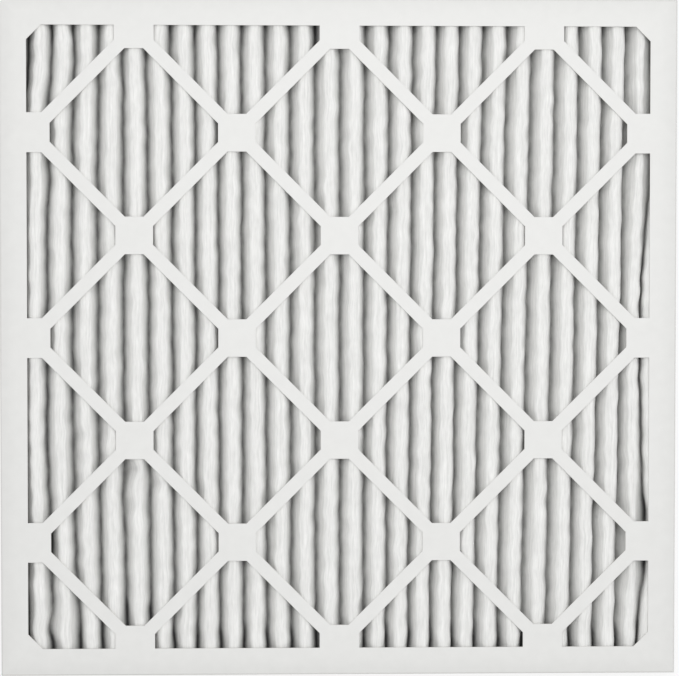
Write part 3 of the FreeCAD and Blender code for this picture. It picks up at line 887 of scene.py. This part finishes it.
# %% Galvanised wire
SPANGLE = 0.004  # size of the patches, in metres
zinc, zinc_output = new_material("galvanised_steel_wire")
wire_place = add_node(zinc, "ShaderNodeTexCoord")
spangle = add_node(
    zinc, "ShaderNodeTexNoise",
    {"Vector": wire_place.outputs["Object"], "Scale": 1 / SPANGLE, "Detail": 3.0},
)
zinc_tone = add_node(
    zinc, "ShaderNodeMix",
    {"Factor": spangle.outputs["Fac"], "A": linear("#8E9194"), "B": linear("#C4C7CA")},
    data_type="RGBA",
)
zinc_dull = add_node(
    zinc, "ShaderNodeMapRange",
    {"Value": spangle.outputs["Fac"], "To Min": 0.3, "To Max": 0.5},
)
zinc_shader = add_node(
    zinc, "ShaderNodeBsdfPrincipled",
    {"Base Color": zinc_tone.outputs[2], "Metallic": 1.0, "Roughness": zinc_dull.outputs[0]},
)
zinc.node_tree.links.new(zinc_shader.outputs[0], zinc_output.inputs[0])
print("made", zinc.name)

# %% [markdown]
# ## Set adhesive
# White carton glue dries to a slightly yellow, satin film with a wavy surface. It is
# hidden by the border, so one noise for its runs is enough.

# %% Set adhesive
RUNS = 0.006  # size of the waves, in metres
glue, glue_output = new_material("set_white_adhesive")
glue_place = add_node(glue, "ShaderNodeTexCoord")
runs = add_node(
    glue, "ShaderNodeTexNoise",
    {"Vector": glue_place.outputs["Object"], "Scale": 1 / RUNS, "Detail": 2.0},
)
glue_tone = add_node(
    glue, "ShaderNodeMix",
    {"Factor": runs.outputs["Fac"], "A": linear("#DAD7CB"), "B": linear("#E9E7DF")},
    data_type="RGBA",
)
glue_bump = add_node(
    glue, "ShaderNodeBump",
    {"Strength": 0.4, "Distance": 0.0004, "Height": runs.outputs["Fac"]},
)
glue_shader = add_node(
    glue, "ShaderNodeBsdfPrincipled",
    {
        "Base Color": glue_tone.outputs[2], "Roughness": 0.4,
        "IOR": 1.47, "Normal": glue_bump.outputs[0],
    },
)
glue.node_tree.links.new(glue_shader.outputs[0], glue_output.inputs[0])
print("made", glue.name)

# %% [markdown]
# ## Dress the pieces
# The two trays and the four beads of adhesive could be built again here, but the solids
# already have their true shape, so they keep it and only get a finish. The fleece and
# the wire grid replace their solids, which have straight pleats and square bars.

# %% Materials and places
FINISHES = {
    "front_frame": (board, "coated_board"),
    "back_frame": (board, "coated_board"),
    "end_seal_top": (glue, "adhesive"),
    "end_seal_bottom": (glue, "adhesive"),
    "side_seal_left": (glue, "adhesive"),
    "side_seal_right": (glue, "adhesive"),
}
for name, (material, slot) in FINISHES.items():
    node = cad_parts[name]
    node.data.materials.clear()
    node.data.materials.append(material)

for piece, material, node, slot in (
    (fleece, fleece_cloth, "filter_media", "nonwoven_media"),
    (wires, zinc, "wire_backing", "galvanised_wire"),
):
    piece.data.materials.append(material)
    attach(piece, "root")
    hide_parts(node)

# %% [markdown]
# ## Floor and sky
# The filter lies on a pale floor, and the photograph's background is white. More light
# would make the floor white too, but it would wash out the filter. So the camera sees
# four fifths of the floor's colour as plain white, while the light that bounces off it
# stays that of pale paper and the filter keeps its soft shadow. The sky is done the same
# way: white to the eye, and about two thirds as bright to the filter.

# %% Floor
FLOOR_HALF = 6
FLOOR_Z = -0.0003  # a hair below the filter, so that the two faces don't coincide
WHITE_SHARE = 0.8
floor_mesh = bpy.data.meshes.new("floor")
floor_corners = [
    (x * FLOOR_HALF, y * FLOOR_HALF, FLOOR_Z) for x, y in ((-1, -1), (1, -1), (1, 1), (-1, 1))
]
floor_mesh.from_pydata(floor_corners, [], [(0, 1, 2, 3)])
floor = bpy.data.objects.new("floor", floor_mesh)
bpy.context.scene.collection.objects.link(floor)

paper, paper_output = new_material("pale_floor")
seen = add_node(paper, "ShaderNodeLightPath")
direct = add_node(
    paper, "ShaderNodeMath",
    {0: seen.outputs["Is Camera Ray"], 1: seen.outputs["Is Glossy Ray"]},
    operation="MAXIMUM",
)
through = add_node(
    paper, "ShaderNodeMath",
    {0: direct.outputs[0], 1: seen.outputs["Is Transmission Ray"]},
    operation="MAXIMUM",
)
white_share = add_node(
    paper, "ShaderNodeMath",
    {0: through.outputs[0], 1: WHITE_SHARE}, operation="MULTIPLY",
)
matt = add_node(paper, "ShaderNodeBsdfDiffuse", {"Color": linear("#F2F2F2")})
white = add_node(
    paper, "ShaderNodeEmission", {"Color": linear("#FFFFFF"), "Strength": 1.0}
)
paper_mix = add_node(
    paper, "ShaderNodeMixShader",
    {0: white_share.outputs[0], 1: matt.outputs[0], 2: white.outputs[0]},
)
paper.node_tree.links.new(paper_mix.outputs[0], paper_output.inputs[0])
floor_mesh.materials.append(paper)
print("made", floor.name)

# %% Sky
SKY_LIGHT = 0.64
world = bpy.data.worlds.new("soft_sky")
bpy.context.scene.world = world
world.use_nodes = True
world.node_tree.nodes.clear()
sky_seen = add_node(world, "ShaderNodeLightPath")
sky_direct = add_node(
    world, "ShaderNodeMath",
    {0: sky_seen.outputs["Is Camera Ray"], 1: sky_seen.outputs["Is Glossy Ray"]},
    operation="MAXIMUM",
)
sky_strength = add_node(
    world, "ShaderNodeMapRange",
    {"Value": sky_direct.outputs[0], "To Min": SKY_LIGHT, "To Max": 1.0},
)
sky = add_node(
    world, "ShaderNodeBackground",
    {"Color": linear("#FFFFFF"), "Strength": sky_strength.outputs[0]},
)
add_node(world, "ShaderNodeOutputWorld", {"Surface": sky.outputs[0]})
print("made", world.name)

# %% [markdown]
# ## Lamp
# In the photograph the light falls almost straight down into the valleys, and both
# flanks of a fold are nearly as bright. Several lamps from the sides would flatten the
# folds, so one large lamp hangs almost overhead, towards the top edge and a little to
# the right. Its size keeps the straps' shadows soft.

# %% Lamp
LAMP_PLACE = Vector((0.12, 0.3, 1.45))
LAMP_SIZE = 0.9
LAMP_POWER = 9.2
lamp = bpy.data.lights.new("key_lamp", "AREA")
lamp.size = LAMP_SIZE
lamp.energy = LAMP_POWER
hung_lamp = bpy.data.objects.new("key_lamp", lamp)
hung_lamp.location = LAMP_PLACE
hung_lamp.rotation_mode = "QUATERNION"
hung_lamp.rotation_quaternion = (-LAMP_PLACE).to_track_quat("-Z", "Y")
bpy.context.scene.collection.objects.link(hung_lamp)
print(f"lamp of {LAMP_POWER} W, {LAMP_PLACE.length:.2f} m away")

# %% [markdown]
# ## Camera
# The camera looks down from 1.5 m and aims at the middle of the front face. It stands
# a little over two degrees off the upright, towards the top left corner, so the windows
# show the board's cut edge on their right and lower sides. A camera without perspective,
# straight above, would be simpler, but it would show no cut edge at all. The angles and
# the width of the view are rounded from a fit to the places where the straps cross in
# the photograph, and the lens follows from that width.

# %% Camera
DISTANCE = 1.5
TILT = math.radians(1.68)
SWING = math.radians(1.62)
ROLL = math.radians(-0.03)
VIEW_WIDTH = 0.4973
SENSOR = 36.0

target = Vector((0.0, 0.0, float(SOLID_BOX[1][2])))
camera_data = bpy.data.cameras.new("camera")
camera_data.sensor_width = SENSOR
camera_data.lens = SENSOR * DISTANCE / VIEW_WIDTH
camera_data.clip_end = 100
camera = bpy.data.objects.new("camera", camera_data)
bpy.context.scene.collection.objects.link(camera)
camera.rotation_mode = "QUATERNION"
aim = Matrix.Rotation(-TILT, 4, "X") @ Matrix.Rotation(-SWING, 4, "Y")
aim = aim @ Matrix.Rotation(ROLL, 4, "Z")
camera.matrix_world = Matrix.Translation(target + aim @ Vector((0, 0, DISTANCE))) @ aim
bpy.context.scene.camera = camera
bpy.context.scene.view_settings.view_transform = "Standard"
print(f"camera lens {camera_data.lens:.1f} mm")
